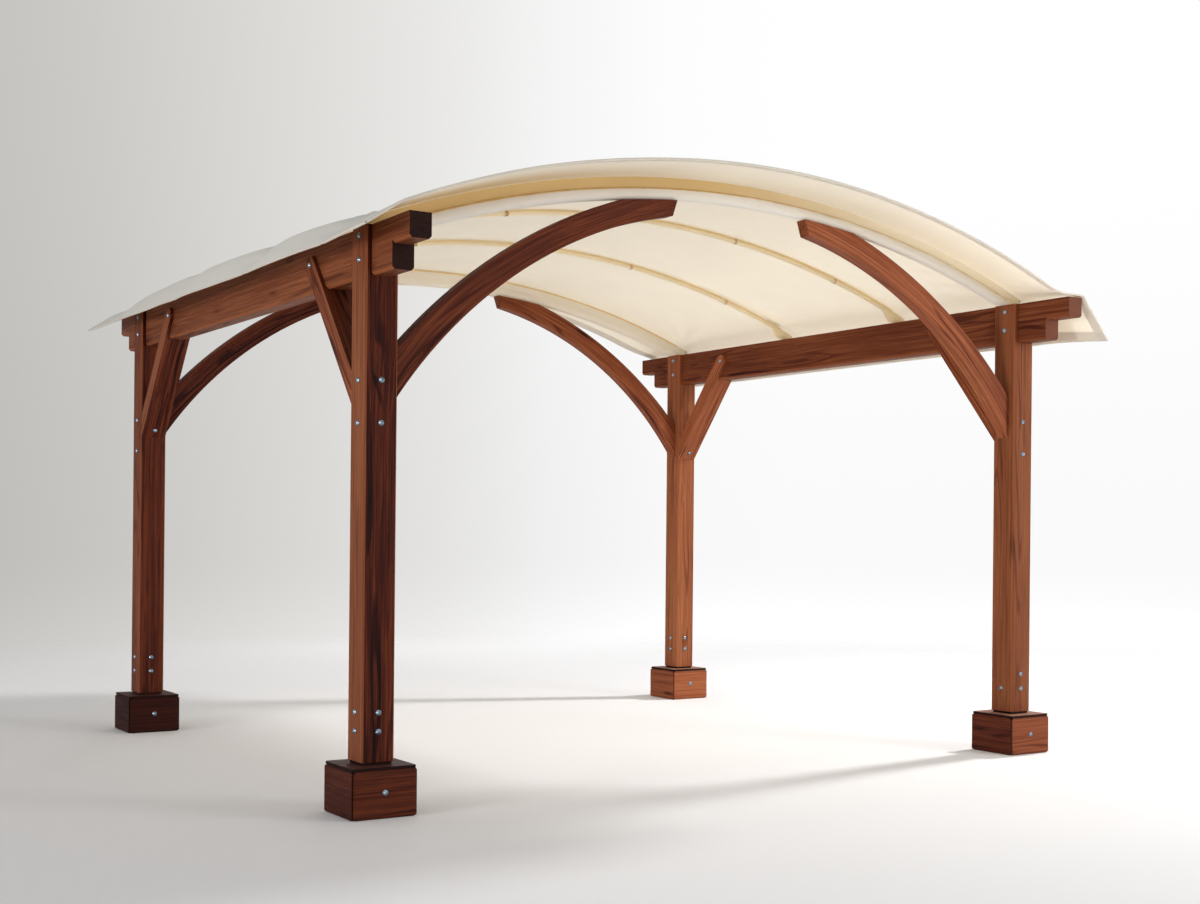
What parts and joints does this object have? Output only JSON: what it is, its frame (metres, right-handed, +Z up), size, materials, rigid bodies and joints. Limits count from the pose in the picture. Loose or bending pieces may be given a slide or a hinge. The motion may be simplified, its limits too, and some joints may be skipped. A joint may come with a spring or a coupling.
{
  "type": "pergola",
  "caption": "Timber pergola with posts on plinth blocks, forked eave beams, curved arch braces, straight knee braces and a barrel-vaulted cloth canopy.",
  "frame": {"origin": "on the ground under the middle of the four posts", "axes": "+X across the vault from the left beam to the right beam, +Y along the beams from front to rear, +Z up"},
  "size_m": [4.42, 4.1, 2.9398],
  "materials": {
    "timber": "oiled",
    "plinth_timber": "oiled",
    "packer": "dark stained",
    "canopy_cloth": "woven, matt",
    "rib_sleeve": "woven, matt",
    "bolt_steel": "zinc plated"
  },
  "bodies": {
    "root": {"base_block_front_left": "plinth_timber", "base_block_front_right": "plinth_timber", "base_block_rear_left": "plinth_timber", "base_block_rear_right": "plinth_timber", "base_cap_front_left": "plinth_timber", "base_cap_front_right": "plinth_timber", "base_cap_rear_left": "plinth_timber", "base_cap_rear_right": "plinth_timber", "post_shoe_front_left": "packer", "post_shoe_front_right": "packer", "post_shoe_rear_left": "packer", "post_shoe_rear_right": "packer", "post_front_left": "timber", "post_front_right": "timber", "post_rear_left": "timber", "post_rear_right": "timber", "arch_brace_front_left": "timber", "arch_brace_front_right": "timber", "arch_brace_rear_left": "timber", "arch_brace_rear_right": "timber", "knee_brace_front_left": "timber", "knee_brace_front_right": "timber", "knee_brace_rear_left": "timber", "knee_brace_rear_right": "timber", "beam_left": "timber", "beam_right": "timber", "rib_front": "rib_sleeve", "rib_mid_front": "rib_sleeve", "rib_mid_rear": "rib_sleeve", "rib_rear": "rib_sleeve", "canopy": "canopy_cloth"}
  },
  "joints": []
}
